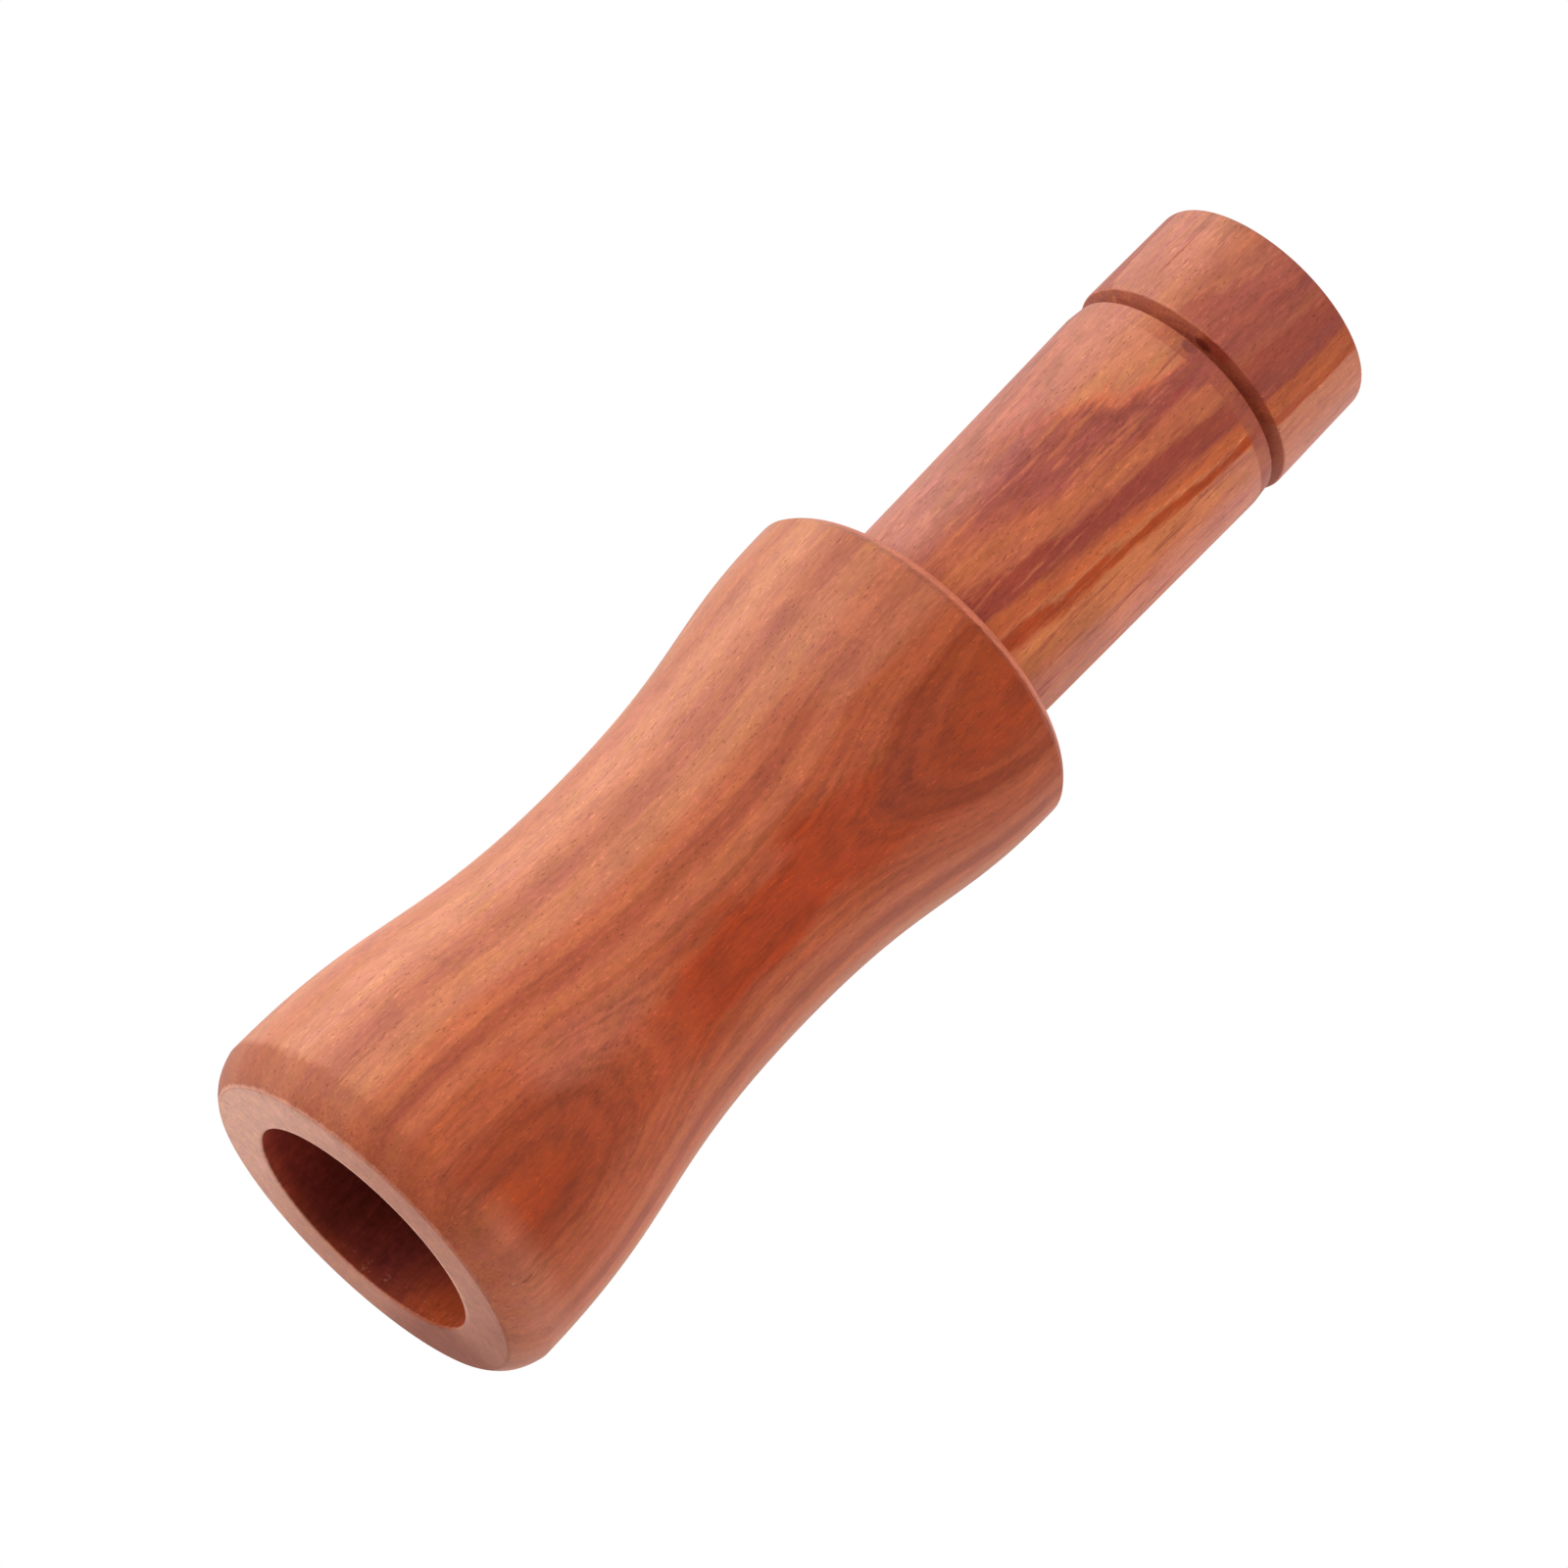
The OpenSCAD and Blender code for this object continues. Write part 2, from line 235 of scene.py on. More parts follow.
# Shader nodes
class Field:
    """What varies over a surface: a number, a place or a colour. Arithmetic on numbers adds nodes."""

    def __init__(self, socket):
        self.socket = socket

    def __add__(self, other):
        return calculated("ADD", self, other)

    __radd__ = __add__

    def __sub__(self, other):
        return calculated("SUBTRACT", self, other)

    def __rsub__(self, other):
        return calculated("SUBTRACT", other, self)

    def __mul__(self, other):
        return calculated("MULTIPLY", self, other)

    def __truediv__(self, other):
        return calculated("DIVIDE", self, other)

    def __pow__(self, power):
        return calculated("POWER", self, power)

    def __abs__(self):
        return calculated("ABSOLUTE", self)


def add_node(tree, kind, inputs=None, **settings):
    """A shader node, with each input linked to a field or a socket, or set to a value."""
    made = tree.nodes.new("ShaderNode" + kind)
    for key, value in settings.items():
        setattr(made, key, value)
    for key, value in (inputs or {}).items():
        socket = value.socket if isinstance(value, Field) else value
        if isinstance(socket, bpy.types.NodeSocket):
            tree.links.new(socket, made.inputs[key])
        else:
            made.inputs[key].default_value = value
    return made


def calculated(operation, *values):
    """The field that a Math node gives for some values, of which one at least is a field."""
    tree = next(value.socket.id_data for value in values if isinstance(value, Field))
    return Field(add_node(tree, "Math", dict(enumerate(values)), operation=operation).outputs[0])


def greater(a, b):
    """The greater of two values at each place."""
    return calculated("MAXIMUM", a, b)


def length(a, b):
    """The long side of a right triangle with the sides a and b."""
    return calculated("SQRT", a ** 2 + b ** 2)


def smooth(field, start, end, at_start=0.0, at_end=1.0):
    """A soft step from at_start to at_end, as the field goes from start to end."""
    inputs = {0: field, 1: start, 2: end, 3: at_start, 4: at_end}
    tree = field.socket.id_data
    return Field(add_node(tree, "MapRange", inputs, interpolation_type="SMOOTHSTEP").outputs[0])


def between(field, rise, fall, amount=1.0):
    """The amount where the field is past its rise and not at its fall, and 0 elsewhere."""
    return smooth(field, *rise, 0.0, amount) * smooth(field, *fall, 1.0, 0.0)


def rgba(colour):
    """A colour as a socket takes it: a field as it is, and a tone with full alpha."""
    return colour if isinstance(colour, Field) else (*colour, 1)


class Shader:
    """A material with a Principled shader. place is a point's place at rest, in mm."""

    def __init__(self, name, **constants):
        self.material = bpy.data.materials.new(name)
        self.material.use_nodes = True
        self.tree = self.material.node_tree
        self.tree.nodes.clear()
        self.surface = add_node(self.tree, "BsdfPrincipled")
        for key, value in constants.items():
            self.surface.inputs[key.replace("_", " ")].default_value = value
        self.output = add_node(self.tree, "OutputMaterial", {"Surface": self.surface.outputs[0]})
        metres = self.field("TexCoord", output="Object")
        self.place = self.field("VectorMath", {0: metres, "Scale": 1 / MM}, operation="SCALE")

    def field(self, kind, inputs=None, output=0, **settings):
        """What a new shader node gives at one of its outputs."""
        return Field(add_node(self.tree, kind, inputs, **settings).outputs[output])

    def link(self, field, key):
        self.tree.links.new(field.socket, self.surface.inputs[key])

    def bump(self, height, depth_mm):
        inputs = {"Height": height, "Distance": depth_mm * MM, "Strength": 1.0}
        self.link(self.field("Bump", inputs), "Normal")

    def towards(self, direction):
        """How far a place lies from the origin in a direction."""
        return self.field("VectorMath", {0: self.place, 1: direction}, "Value", operation="DOT_PRODUCT")

    def noise(self, across, along, detail, roughness=0.5):
        """Noise about 0, mostly between -0.5 and 0.5, with so many waves per mm across and along."""
        waves = self.field("VectorMath", {0: self.place, 1: (across, across, along)}, operation="MULTIPLY")
        inputs = {"Vector": waves, "Scale": 1.0, "Detail": detail, "Roughness": roughness}
        return self.field("TexNoise", inputs) - 0.5

    def ramp(self, share, stops):
        """The colour of a ramp through tones, each at its share of the way."""
        made = add_node(self.tree, "ValToRGB", {0: share})
        elements = made.color_ramp.elements
        while len(elements) > 1:
            elements.remove(elements[-1])
        elements[0].position, elements[0].color = stops[0][0], rgba(stops[0][1])
        for position, tone in stops[1:]:
            elements.new(position).color = rgba(tone)
        return Field(made.outputs[0])

    def over(self, colour, tone, amount, blend_type="MIX"):
        """The colour with an amount of a tone, or of another colour, laid over it."""
        inputs = {0: amount, 6: rgba(colour), 7: rgba(tone)}
        return self.field("Mix", inputs, 2, data_type="RGBA", blend_type=blend_type)

    def tint(self, colour, red, green, blue):
        """The colour with its red, green and blue made stronger or weaker by values round 1."""
        by = self.field("CombineColor", {0: red, 1: green, 2: blue})
        return self.over(colour, by, 1.0, "MULTIPLY")

    def shade(self, colour, value):
        """The colour made darker or lighter by a value round 1."""
        return self.tint(colour, value, value, value)

    def mark(self, colour, at, size, tone, amount):
        """A small soft mark of a tone at a place, with its half sizes in mm."""
        off = self.field("VectorMath", {0: self.place, 1: at}, operation="SUBTRACT")
        off = self.field("VectorMath", {0: off, 1: size}, operation="DIVIDE")
        far = self.field("VectorMath", {0: off}, "Value", operation="LENGTH")
        return self.over(colour, tone, smooth(far, 0.6, 1.1, amount, 0.0))


# Tones of the wood
PALE = (0.60, 0.240, 0.140)
SALMON = (0.55, 0.200, 0.115)
ROSE = (0.50, 0.173, 0.098)
HONEY = (0.50, 0.170, 0.086)
DUSK = (0.43, 0.135, 0.078)
TAWNY = (0.46, 0.120, 0.054)
CHESTNUT = (0.41, 0.088, 0.035)
UMBER = (0.35, 0.080, 0.038)
BRICK = (0.34, 0.064, 0.022)
EMBER = (0.38, 0.056, 0.011)
CRIMSON = (0.36, 0.036, 0.003)
WINE = (0.29, 0.045, 0.014)
BLUSH = (0.58, 0.188, 0.115)
ASH = (0.51, 0.200, 0.142)
AMBER = (0.60, 0.175, 0.068)
COPPER = (0.53, 0.116, 0.036)
RUST = (0.40, 0.055, 0.008)
MAUVE = (0.31, 0.072, 0.050)
PLUM = (0.30, 0.052, 0.030)
PORE = (0.16, 0.030, 0.016)

# Tones of sanded, worn, soiled and scorched places, and of painted light and shade
BLEACHED_AND_LIT = (0.86, 0.430, 0.310)
SANDED = (0.56, 0.215, 0.135)
RIM_WEAR_AND_HIGHLIGHT = (0.74, 0.220, 0.130)
CLAY = (0.335, 0.076, 0.038)
HANDLED_AND_SHADED = (0.30, 0.065, 0.026)
STAIN = (0.19, 0.042, 0.038)
PAINTED_BORE_LIGHT = (0.42, 0.070, 0.018)
CHARRED_AND_SHADOW = (0.166, 0.011, 0.004)
BURNT_AND_SHADED = (0.140, 0.017, 0.011)
CHIP_SHADOW = (0.10, 0.014, 0.007)

# Growth rings, as the tone at each depth in mm
BARREL_RINGS = [
    (-18, SALMON), (-15.5, ROSE), (-13.5, HONEY), (-12, SALMON), (-11, UMBER), (-10.2, ROSE),
    (-7, PALE), (-5, SALMON), (-3, SALMON), (-1.5, PALE), (0.6, PALE), (2, SALMON), (3.1, ROSE),
    (4.2, DUSK), (5.2, DUSK), (6.2, HONEY), (7.6, HONEY), (9, TAWNY), (9.7, TAWNY), (10.3, UMBER),
    (11.1, UMBER), (11.9, TAWNY), (12.4, TAWNY), (13.1, CHESTNUT), (14.8, CHESTNUT), (15.5, BRICK),
    (16.2, BRICK), (16.9, EMBER), (17.6, EMBER),
]
INSERT_RINGS = [
    (-13, TAWNY), (-11.5, BLUSH), (-10, PLUM), (-9, COPPER), (-7, BLUSH), (-5, COPPER), (-4, BLUSH),
    (0, BLUSH), (1.5, AMBER), (3.5, AMBER), (3.85, COPPER), (4.1, RUST), (4.6, RUST), (4.85, AMBER),
    (5.15, COPPER), (5.7, COPPER), (6.05, CHESTNUT), (6.5, PLUM), (7.4, PLUM), (7.9, TAWNY),
    (9.0, TAWNY), (9.5, MAUVE), (10.2, MAUVE), (10.55, TAWNY), (10.9, HONEY), (12, HONEY), (13, HONEY),
]

# How growth rings wander: waves per mm across and along the call, detail, and reach in mm
WANDERS = [(0.16, 0.05, 1.0, 2.2), (0.9, 0.17, 3.0, 1.5), (3.2, 0.45, 2.0, 0.9)]

# Streaks of the end band, as the depths in mm that each lies between, and its tone
BAND_STREAKS = [(10.3, 11.9, MAUVE), (7.2, 9.1, PLUM), (3.7, 6.5, CHESTNUT)]

# Small marks, as place and half sizes in mm, tone and amount
BARREL_MARKS = [
    ((11.5, -13.0, 2.0), (0.2, 0.2, 0.22), SALMON, 0.6),  # nick on the lip
    ((11.95, -12.9, 3.1), (0.22, 0.22, 0.75), PORE, 0.45),  # fine line beside the nick
    ((4.5, -14.0, 27.9), (0.35, 0.35, 0.7), WINE, 0.7),  # fleck below the waist
]
INSERT_MARKS = [
    ((-9.6, -4.4, 103.7), (0.4, 0.4, 0.2), BLUSH, 0.5),  # pit in the groove
    ((-8.37, -7.7, 109.3), (0.12, 0.12, 4.2), CHESTNUT, 0.65),  # thin line along the end band
    ((-2.1, -10.85, 102.4), (0.95, 0.7, 0.75), STAIN, 0.8),  # stain on the soft shoulder
    ((-1.4, -10.3, 103.6), (1.1, 0.6, 0.22), CHIP_SHADOW, 0.8),  # painted shadow in a chip in the groove's lower edge
]


# Wood
class Timber(Shader):
    """Wood with true growth rings: shells round a pith line beside the piece.

    facing is the direction, in degrees round the call from -Y towards +X, of the line
    from the call's axis to the pith. pith is the distance in mm to it, or less than zero
    where it lies behind. lean is how far the shells shift for each mm along the call from
    mid_z, and wave is the share of WANDERS that they follow.

    Its fields are in mm: x, y, z and radius give a point's place, beside says how far it
    lies to the side of that line, and depth where its growth ring crosses the line.
    """

    def __init__(self, name, facing, pith, lean, mid_z, wave):
        super().__init__(name, IOR=1.46, Specular_IOR_Level=0.13)
        self.x, self.y, self.z = (self.field("SeparateXYZ", {0: self.place}, axis) for axis in "XYZ")
        self.radius = length(self.x, self.y)
        turn = math.radians(facing)
        self.beside = self.towards((math.cos(turn), math.sin(turn), 0))
        from_pith = self.towards((math.sin(turn), -math.cos(turn), 0)) - pith
        shell = length(from_pith, self.beside)
        self.depth = pith - shell * math.copysign(1, pith) + (self.z - mid_z) * lean
        for across, along, detail, reach in WANDERS:
            wander = self.noise(across, along, detail=detail, roughness=0.6)
            self.depth = self.depth + wander * (reach * wave)


def wood(name, rings, finish, **growth):
    """Timber that has the tones of rings. finish(s, colour) gives it the marks of this piece alone."""
    s = Timber(name, **growth)
    low, high = rings[0][0], rings[-1][0]
    stops = [((at - low) / (high - low), tone) for at, tone in rings]
    colour = finish(s, s.ramp((s.depth - low) / (high - low), stops))

    mottle = s.noise(2.2, 0.9, detail=4.0, roughness=0.7)
    colour = grained(s, colour, mottle)

    # Open pores and pale flecks, drawn out along the grain
    pore = s.noise(6.0, 1.7, detail=1.0)
    pores = smooth(pore, 0.17, 0.26)
    colour = s.over(colour, PORE, pores * 0.45)
    colour = s.shade(colour, smooth(pore, -0.14, -0.24, 1.0, 1.3))
    s.link(colour, "Base Color")
    s.link(mottle * 0.3 + 0.47, "Roughness")
    s.bump(mottle * 0.5 - pores, 0.03)
    return s.material


def grained(s, colour, mottle):
    """The colour with fine rings, fibres, mottling, a cloudy figure and small shifts of hue."""
    ringed = s.field("TexNoise", {"W": s.depth, "Scale": 2.6, "Detail": 2.0}, noise_dimensions="1D")
    # The fine rings fade at the lip and on the flanks
    fine = smooth(ringed, 0.25, 0.75, -0.12, 0.12) * smooth(s.z, 1, 5, 0.3, 1.0)
    fine = fine * smooth(abs(s.beside), 4, 10, 1.0, 0.45)
    fibre = s.noise(4.5, 0.5, detail=2.0, roughness=0.6)
    cloud = s.noise(0.45, 0.22, detail=3.0)
    hue = s.noise(1.1, 0.16, detail=4.0, roughness=0.6)
    value = 1.0 + fine + fibre * 0.42 + mottle * 0.5 + cloud * 0.48 + hue * 0.14
    return s.tint(colour, value, value + hue * 0.25, value - hue * 0.55)


def barrel_finish(s, colour):
    """The barrel's figure, its worn edges and the rim's painted highlight, its marks, the mouth ring and the
    bore.

    In the finishes, left is towards -X, right towards +X and front towards -Y.
    """
    grit = s.noise(1.2, 1.2, detail=4.0, roughness=0.6)
    colour = barrel_figure(s, colour)
    colour = barrel_edges(s, colour, grit)
    for mark in BARREL_MARKS:
        colour = s.mark(colour, *mark)
    colour = mouth_ring(s, colour, grit)
    return barrel_bore(s, colour, grit)


def barrel_figure(s, colour):
    """A red core with a browner far side and paler stretches beside it, and dark flames at both ends."""
    inner = greater(smooth(s.depth, 14.6, 15.3), smooth(s.z, 28, 36))
    far_side = smooth(s.beside, 1.5, 4.5, 0.0, 0.65) * inner * smooth(s.depth, 12.0, 13.4)
    colour = s.over(colour, CHESTNUT, far_side)
    below_waist = between(s.z, (12, 16), (24, 31), 0.4) * smooth(s.depth, 12.5, 13.5)
    colour = s.over(colour, DUSK, below_waist * smooth(s.beside, -1.5, -4.5))
    near_rim = between(s.beside, (-14.5, -13), (-9.5, -8)) * smooth(s.z, 52, 57, 0.0, 0.33)
    colour = s.over(colour, ROSE, near_rim)
    colour = s.over(colour, CRIMSON, red_core(s))

    low_end = smooth(s.z, 18, 24, 1.0, 0.0)
    into_flame = s.depth - low_end * 0.45
    flame = smooth(into_flame, 15.2, 15.6, 0.0, 0.75) * smooth(into_flame, 16.1, 16.5, 1.0, 0.25)
    colour = s.over(colour, WINE, flame * greater(low_end, smooth(s.z, 46, 54)))

    # Painted light falling off along the call: a little lighter below the waist, and a little darker towards
    # the rim
    painted_falloff = smooth(s.z, 8, 15, 1.0, 1.07) * smooth(s.z, 20, 34, 1.0, 0.94)
    return s.shade(colour, painted_falloff * smooth(s.z, 42, 52, 1.0, 0.93))


def red_core(s):
    """How red a place is by the core, which wanders, is widest above the waist and weakest below it."""
    ripple = s.noise(0.7, 0.12, detail=3.0)
    widened = between(s.z, (40, 47), (52, 56))
    middle = smooth(s.z, 18, 32, 1.2, 0.0) + smooth(s.z, 40, 52) - widened * 1.2
    off_middle = abs(s.beside + ripple * 5.0 - middle)
    off_middle = off_middle * smooth(s.z, 18, 32, 1.35, 1.0) * smooth(widened, 0, 1, 1.0, 0.78)
    along_call = smooth(s.z, 21, 32, 0.3, 0.88) + smooth(s.z, 15, 10, 0.0, 0.5)
    along_call = along_call * smooth(s.z, 43, 52, 1.0, 0.75)
    at_depth = smooth(s.depth, 12.0, 13.6) * smooth(s.depth, 15.0, 16.0, 1.0, 0.5)
    return smooth(off_middle, 1.6, 4.8, 1.0, 0.0) * along_call * at_depth


def barrel_edges(s, colour, grit):
    """The rim worn pale and given a painted highlight, and the lip browned by handling and rosier on its
    right.
    """
    from_top = s.z + grit * 0.5 - BARREL_TOP
    # The eased rim: pale wear, with a painted highlight where it catches the light
    rim = smooth(from_top, -1.6, -1.1, 0.0, 0.8) * smooth(s.radius, RIM_TOP_R - 0.15, RIM_TOP_R + 0.35)
    colour = s.over(colour, RIM_WEAR_AND_HIGHLIGHT, rim)
    lip = smooth(s.z + grit * 1.6, 2.8, 4.0, 0.6, 0.0) * smooth(s.x, 3, 11, 1.0, 0.5)
    colour = s.over(colour, HANDLED_AND_SHADED, lip)
    return s.over(colour, ROSE, smooth(s.x, 2.5, 9, 0.0, 0.42) * smooth(s.z, 6.5, 3.5))


def mouth_ring(s, colour, grit):
    """The flat ring: sanded wood, paler on its left with painted light, browner on its right with painted
    shade, and browned at its outer edge.
    """
    # Painted light makes the face paler on its left, and painted shade makes it browner on its right
    face = s.over(SANDED, BLEACHED_AND_LIT, smooth(s.x, 0, -14))
    face = s.over(face, HANDLED_AND_SHADED, smooth(s.x, 9, 14, 0.0, 0.5))
    face = s.over(face, HANDLED_AND_SHADED, smooth(s.x, 3, 10) * smooth(s.y, -1, 5))
    face = s.over(face, HANDLED_AND_SHADED, smooth(s.radius, RING_R - 0.2, RING_R + 0.05, 0.0, 0.4))
    inner_edge = smooth(s.radius, MOUTH_BORE_R + 0.35, MOUTH_BORE_R + 0.65, 0.6, 0.0)
    face = s.over(face, BLEACHED_AND_LIT, inner_edge * smooth(s.y, -1, -6))
    front_edge = smooth(s.radius, RING_R - 1.3, RING_R - 0.1) * smooth(s.y, -3, -9)
    face = s.over(face, HANDLED_AND_SHADED, front_edge * 0.15)
    face = s.shade(face, 1.0 + grit * 0.5)
    # Grit makes the ring's outer edge a little uneven
    past_face = s.z - greater(grit, 0.0) * 0.45
    return s.over(colour, face, smooth(past_face, 0.06, 0.25, 1.0, 0.0))


def barrel_bore(s, colour, grit):
    """The bore, burnt dark and painted darker as its shade, with painted light near the mouth on its right,
    on its left and along its edge, and torn fibres at the edge.
    """
    # Painted light: a pool of light on the right near the mouth, and a glow along the edge
    painted_light_pool = smooth(s.z + grit * 9.0, 8, 1) * smooth(s.x, 3.5, 9.5) * 0.7
    painted_edge_light = smooth(s.z + grit * 1.5, 1.8, 0.3, 0.0, 0.2)
    bore = s.over(BURNT_AND_SHADED, PAINTED_BORE_LIGHT, greater(painted_light_pool, painted_edge_light))
    bore = s.shade(bore, 1.0 + grit * 1.2)
    # Painted light on the bore's left
    bore = s.shade(bore, smooth(s.x, -2, -9, 1.05, 2.0))
    fluff = s.noise(1.8, 1.8, detail=4.0, roughness=0.75)
    fluff = smooth(fluff, 0.07, 0.16, 0.0, 0.45) * smooth(s.z, 2.5, 0.3) * smooth(s.x, -3, 4)
    bore = s.over(bore, SANDED, fluff)
    taper_end = MOUTH_BORE_L + BORE_TAPER_L
    wall_r = smooth(s.z, MOUTH_BORE_L, taper_end, MOUTH_BORE_R + 0.05, BORE_R + 0.05)
    in_bore = smooth(s.radius - wall_r, 0.0, 0.15, 1.0, 0.0) * smooth(s.z, 0.03, 0.3)
    return s.over(colour, bore, in_bore)


def insert_finish(s, colour):
    """The insert's figure, its end band, the groove and its soft shoulder, the marks and the airway."""
    up = s.z - GROOVE_Z
    colour = insert_figure(s, colour)
    colour = end_band(s, colour, up)
    # Shaded where it leaves the barrel, on the side of the pith
    colour = s.shade(colour, greater(smooth(s.z, 79, 84, 0.82, 1.0), smooth(s.depth, 1.5, 3.0)))
    colour = soft_shoulder(s, colour, up)
    colour = scorched_and_shadowed_groove(s, colour, up)
    for mark in INSERT_MARKS:
        colour = s.mark(colour, *mark)
    return s.over(colour, BURNT_AND_SHADED, smooth(s.radius, FLARE_R + 0.05, FLARE_R + 0.3, 0.6, 0.0))


def insert_figure(s, colour):
    """Broken streaks, a paler side, an arched figure and a tip of two tones."""
    streak = s.noise(1.5, 0.12, detail=4.0, roughness=0.6)
    dark = smooth(streak, 0.03, 0.2, 0.0, 0.7) * smooth(s.beside, 1, 6, 0.15, 1.0)
    colour = s.over(colour, PLUM, dark)
    colour = s.over(colour, AMBER, smooth(streak, -0.05, -0.22, 0.0, 0.55))
    front = smooth(s.y, 3, -3)
    side = smooth(s.beside, 3.5, -1.5) * smooth(s.z, 80, 86, 0.92, 0.75) * front
    colour = s.over(colour, ASH, side)
    arch = between(s.depth, (10.2, 10.4), (10.55, 10.8), 0.4) * between(s.z, (76, 80), (90, 95))
    colour = s.over(colour, MAUVE, arch * smooth(s.beside, -3, -1))
    far_tip = smooth(s.z, 90, 104, 0.0, 0.55) * smooth(s.depth, 3.4, 4.1, 1.0, 0.0) * front
    colour = s.over(colour, ASH, far_tip)
    tip = smooth(s.z, 99, 107, 0.0, 0.55) * smooth(s.beside, 1, 4) * smooth(s.depth, 5.8, 7.0)
    return s.over(colour, MAUVE, tip)


def end_band(s, colour, up):
    """Streaks along the end band."""
    on_band = smooth(up, GROOVE_W - 0.05, GROOVE_W + 0.15, 0.0, 0.7)
    for low, high, tone in BAND_STREAKS:
        streak = between(s.depth, (low, low + 0.4), (high - 0.4, high))
        colour = s.over(colour, tone, streak * on_band)
    return colour


def soft_shoulder(s, colour, up):
    """Blotches on the shoulder below the groove, fainter on its left."""
    blotch = s.noise(0.35, 0.2, detail=2.0)
    blotched = s.over(MAUVE, UMBER, smooth(blotch, -0.12, 0.12))
    on_shoulder = between(up, (-SHOULDER_L - 0.1, -SHOULDER_L + 0.2), (0.0, 1.3))
    amount = smooth(blotch, -0.12, 0.12, 0.8, 0.5) * smooth(s.x, -7.5, -4.0, 0.12, 1.0)
    return s.over(colour, blotched, on_shoulder * amount)


def scorched_and_shadowed_groove(s, colour, up):
    """The lanyard groove, scorched and given a painted shadow towards its upper wall, except at both sides.
    """
    in_groove = between(up, (0.0, 0.2), (GROOVE_W - 0.1, GROOVE_W + 0.05), 0.8)
    colour = s.over(colour, CLAY, in_groove)
    # Painted shadow along the groove's upper wall, with some scorching
    scorch_and_shadow = between(s.x, (-2.5, -1.5), (6.5, 8.5), 0.8) * smooth(s.x, 0.5, 2.0, 1.0, 0.5)
    return s.over(colour, CHARRED_AND_SHADOW, scorch_and_shadow * in_groove * smooth(up, 0.6, 0.85))


# Other materials
def rubber():
    s = Shader("black_rubber", Base_Color=(0.012, 0.012, 0.013, 1), IOR=1.5)
    grain = s.noise(3.0, 3.0, detail=3.0)
    s.link(grain * 0.3 + 0.5, "Roughness")
    s.bump(grain, 0.02)
    return s.material


def board_plastic():
    s = Shader("board_plastic", IOR=1.5)
    grain = s.noise(6.0, 6.0, detail=2.0)
    cloud = s.noise(0.5, 0.5, detail=2.0)
    black, charcoal = (0.016, 0.016, 0.017), (0.026, 0.025, 0.026)
    s.link(s.over(black, charcoal, smooth(cloud, -0.3, 0.3)), "Base Color")
    s.link(cloud * 0.3 + 0.45, "Roughness")
    s.bump(grain, 0.015)
    return s.material


def reed_film():
    s = Shader("reed_film", IOR=1.57)
    haze = s.noise(0.6, 0.25, detail=2.0)
    milky, straw = (0.78, 0.73, 0.58), (0.70, 0.62, 0.44)
    s.link(s.over(milky, straw, smooth(haze, -0.3, 0.3)), "Base Color")
    s.link(haze * 0.2 + 0.3, "Roughness")
    return s.material


def cork():
    s = Shader("cork", Roughness=0.85)
    cells = s.field("TexVoronoi", {"Vector": s.place, "Scale": 2.4}, "Distance")
    fleck = s.noise(1.1, 1.1, detail=4.0, roughness=0.7)
    brown, tan, dark = (0.40, 0.22, 0.10), (0.56, 0.36, 0.18), (0.10, 0.045, 0.02)
    colour = s.over(brown, tan, smooth(cells, 0.0, 0.8))
    s.link(s.over(colour, dark, smooth(fleck, 0.14, 0.24)), "Base Color")
    s.bump(cells - fleck, 0.12)
    return s.material


# Reeds
def with_finer(lines, centre, reach=1.25, step=0.125):
    """The lines, with those near the centre replaced by finer ones."""
    kept = [line for line in lines if abs(line - centre) > reach + 2 * step]
    count = int(reach / step)
    return sorted(kept + [centre + i * step for i in range(-count, count + 1)])


def reed(node, thickness, lift, rise_from, dimple_z=None):
    """A thin reed that lies flat from its slot to rise_from, then rises by lift to its tip.

    It is fine enough to bend, and may have a small dimple pressed down into it.
    """
    low, high = (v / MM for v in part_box(node))
    rise = lift / (rise_from - low.z)
    across = [i * high.x / REED_HALF_STEPS for i in range(-REED_HALF_STEPS, REED_HALF_STEPS + 1)]
    along = [low.z + (high.z - low.z) * i / REED_STEPS for i in range(REED_STEPS + 1)]
    along = sorted(along + [low.z + REED_CORNER])
    if dimple_z:
        across, along = with_finer(across, 0), with_finer(along, dimple_z)

    def underside(x, z):
        dip = 0
        if dimple_z:
            share = min(1, math.hypot(x, z - dimple_z) / DIMPLE_R)
            dip = (rise * (rise_from - dimple_z) - DIMPLE_FIT) * (1 - share ** 2) ** 2
        return low.y + rise * max(0, rise_from - z) - dip

    verts, faces = [], []
    for z in along:
        share = (high.x - max(0, REED_CORNER - (z - low.z))) / high.x
        for x in across:
            y = underside(x, z)
            verts += [Vector((x * share, y, z)) * MM, Vector((x * share, y + thickness, z)) * MM]
    row = 2 * len(across)
    for i in range(len(along) - 1):
        for j in range(0, row - 2, 2):
            a, b = i * row + j, (i + 1) * row + j
            faces += [(a, b, b + 2, a + 2), (a + 1, a + 3, b + 3, b + 1)]
        a, b = i * row, (i + 1) * row
        faces += [(a, a + 1, b + 1, b), (a + row - 2, b + row - 2, b + row - 1, a + row - 1)]
    for j in range(0, row - 2, 2):
        last = (len(along) - 1) * row + j
        faces += [(j, j + 2, j + 3, j + 1), (last, last + 1, last + 3, last + 2)]
    obj = add_object(node + "_film", verts, faces)
    obj.data.set_sharp_from_angle(angle=math.radians(40))
    return obj


# Pieces
def dress(obj, body, material, node):
    """Puts a material on a piece that rides on a body and stands for a CAD node."""
    obj.data.materials.append(material)
    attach(obj, body)
    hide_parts(node)


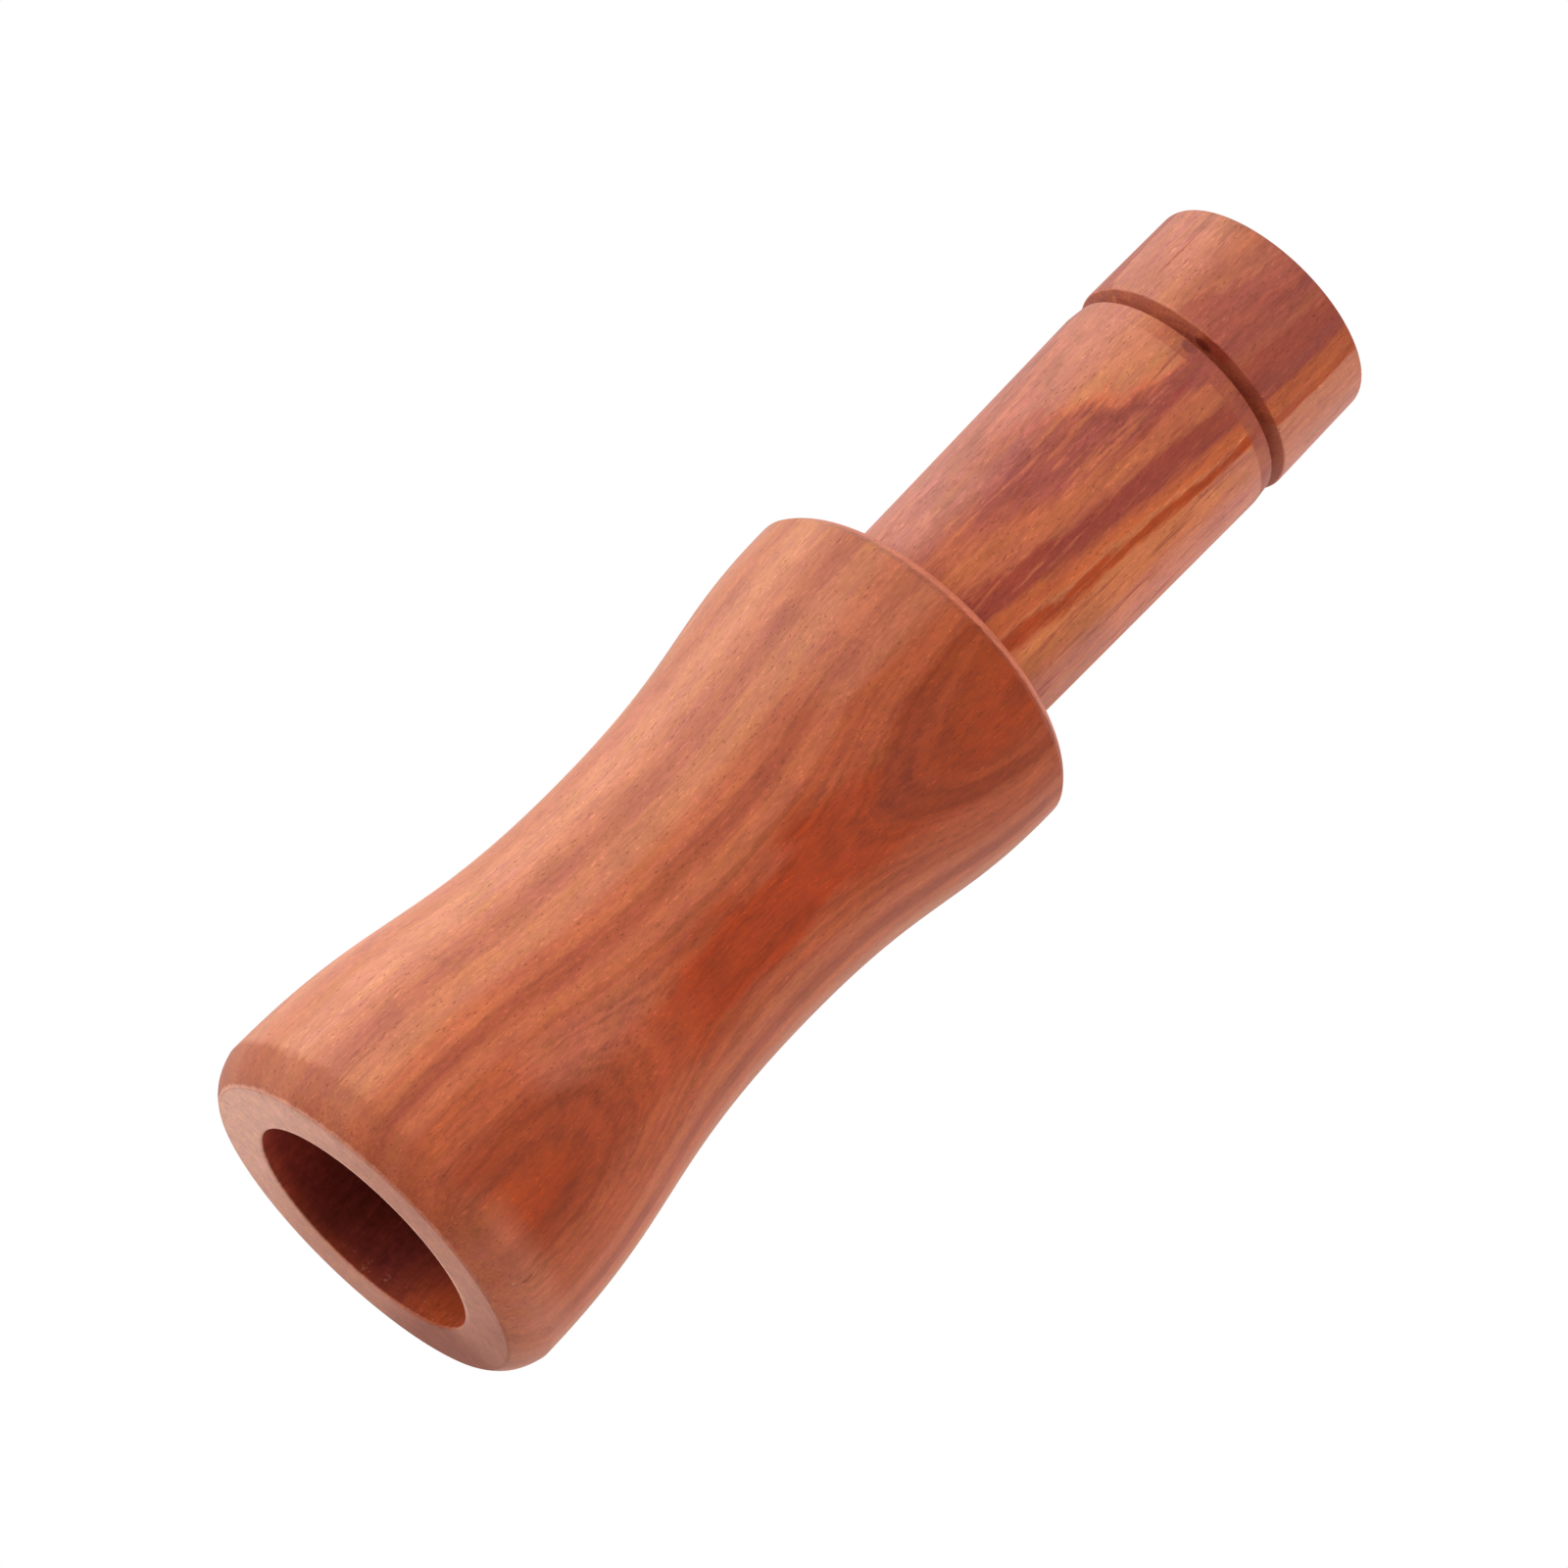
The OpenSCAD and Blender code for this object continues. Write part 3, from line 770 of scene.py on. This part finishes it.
barrel_wood = wood(
    "barrel_wood", BARREL_RINGS, barrel_finish, facing=26, pith=45, lean=0.018, mid_z=38, wave=0.4
)
insert_wood = wood(
    "insert_wood", INSERT_RINGS, insert_finish, facing=-42, pith=-30, lean=0.062, mid_z=90, wave=0.75
)
dress(turned("barrel_turned", barrel_outline()), "barrel", barrel_wood, "barrel")
dress(turned("insert_turned", insert_outline()), "insert", insert_wood, "insert")

film = reed_film()
wedge_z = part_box("wedge")[0].z / MM
tip_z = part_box("upper_reed")[0].z / MM
for node, obj in (
    ("lower_reed", reed("lower_reed", LOWER_REED_T, 0, wedge_z)),
    ("upper_reed", reed("upper_reed", UPPER_REED_T, UPPER_LIFT, wedge_z, tip_z + DIMPLE_DIST)),
):
    obj.data.materials.append(film)
    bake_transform(obj)
    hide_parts(node)

black_rubber = rubber()
cad_materials = {
    "front_o_ring": black_rubber, "rear_o_ring": black_rubber, "tone_board": board_plastic(), "wedge": cork(),
}
for node, material in cad_materials.items():
    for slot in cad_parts[node].material_slots:
        slot.material = material

# Camera: the photograph's view, from below the mouth, rolled to the photograph's slant
FRAME_PX = 1600
FOCAL_PX = 6500
SENSOR_MM = 36
AIM = Vector((-0.8, 0, 52.67)) * MM
DISTANCE = 531 * MM
TILT = math.radians(20.32)
SLANT = math.radians(45.67)

look = Vector((0, math.cos(TILT), math.sin(TILT)))
along = Vector((0, -math.sin(TILT), math.cos(TILT)))
across = Vector((1, 0, 0))
right = along * math.cos(SLANT) + across * math.sin(SLANT)
up = along * math.sin(SLANT) - across * math.cos(SLANT)
camera_data = bpy.data.cameras.new("camera")
camera_data.sensor_width = SENSOR_MM
camera_data.lens = FOCAL_PX / FRAME_PX * SENSOR_MM
camera_data.clip_start, camera_data.clip_end = 0.01, 10
camera = bpy.data.objects.new("camera", camera_data)
bpy.context.scene.collection.objects.link(camera)
turn = Matrix((right, up, -look)).transposed().to_4x4()
camera.matrix_world = Matrix.Translation(AIM - look * DISTANCE) @ turn
bpy.context.scene.camera = camera


# Light
def softbox(name, toward, distance, width, power):
    """A square lamp that looks at the middle of the call from the direction toward."""
    data = bpy.data.lights.new(name, "AREA")
    data.energy, data.size = power, width
    lamp = bpy.data.objects.new(name, data)
    bpy.context.scene.collection.objects.link(lamp)
    middle = Vector((0, 0, CALL_TOP / 2 * MM))
    back = Vector(toward).normalized()
    lamp.location = middle + back * distance
    lamp.rotation_mode = "QUATERNION"
    lamp.rotation_quaternion = back.to_track_quat("Z", "Y")


def white_world(light):
    """A white background that gives off less light than it shows."""
    world = bpy.data.worlds.new("white")
    world.use_nodes = True
    tree = world.node_tree
    tree.nodes.clear()
    rays = add_node(tree, "LightPath").outputs
    seen = Field(rays["Is Camera Ray"])
    for ray in ("Is Glossy Ray", "Is Transmission Ray"):
        seen = greater(seen, Field(rays[ray]))
    strength = add_node(tree, "MapRange", {"Value": seen, "To Min": light, "To Max": 1.0})
    inputs = {"Color": (1, 1, 1, 1), "Strength": strength.outputs["Result"]}
    background = add_node(tree, "Background", inputs)
    add_node(tree, "OutputWorld", {"Surface": background.outputs[0]})
    return world


softbox("key", toward=(-1, -0.5, -0.22), distance=0.9, width=0.7, power=7.4)
softbox("fill", toward=(0.9, -0.9, 0.3), distance=1.2, width=0.9, power=4.6)
softbox("rim", toward=(1, 0.3, -0.1), distance=0.9, width=0.4, power=1.3)
bpy.context.scene.world = white_world(light=0.55)


# Floor: seen from above only, so that the mouth can be lit and seen from below
def clear_edged_floor():
    """A pale square that fades out away from the call, and can't be seen from below."""
    half, z = 1, -0.05 * MM
    corners = [(-half, -half, z), (half, -half, z), (half, half, z), (-half, half, z)]
    floor = add_object("floor", corners, [(0, 1, 2, 3)])
    s = Shader("floor", Base_Color=(0.9, 0.9, 0.9, 1), Roughness=0.9)
    from_middle = s.field("VectorMath", {0: s.place}, "Value", operation="LENGTH")
    clear = greater(s.field("NewGeometry", output="Backfacing"), smooth(from_middle, 250, 900))
    see_through = s.field("BsdfTransparent")
    mixed = s.field("MixShader", {0: clear, 1: s.surface.outputs[0], 2: see_through})
    s.tree.links.new(mixed.socket, s.output.inputs["Surface"])
    floor.data.materials.append(s.material)
    floor.visible_diffuse = floor.visible_glossy = floor.visible_transmission = floor.visible_shadow = False
    return floor


floor = clear_edged_floor()

bpy.context.scene.view_settings.view_transform = "Standard"
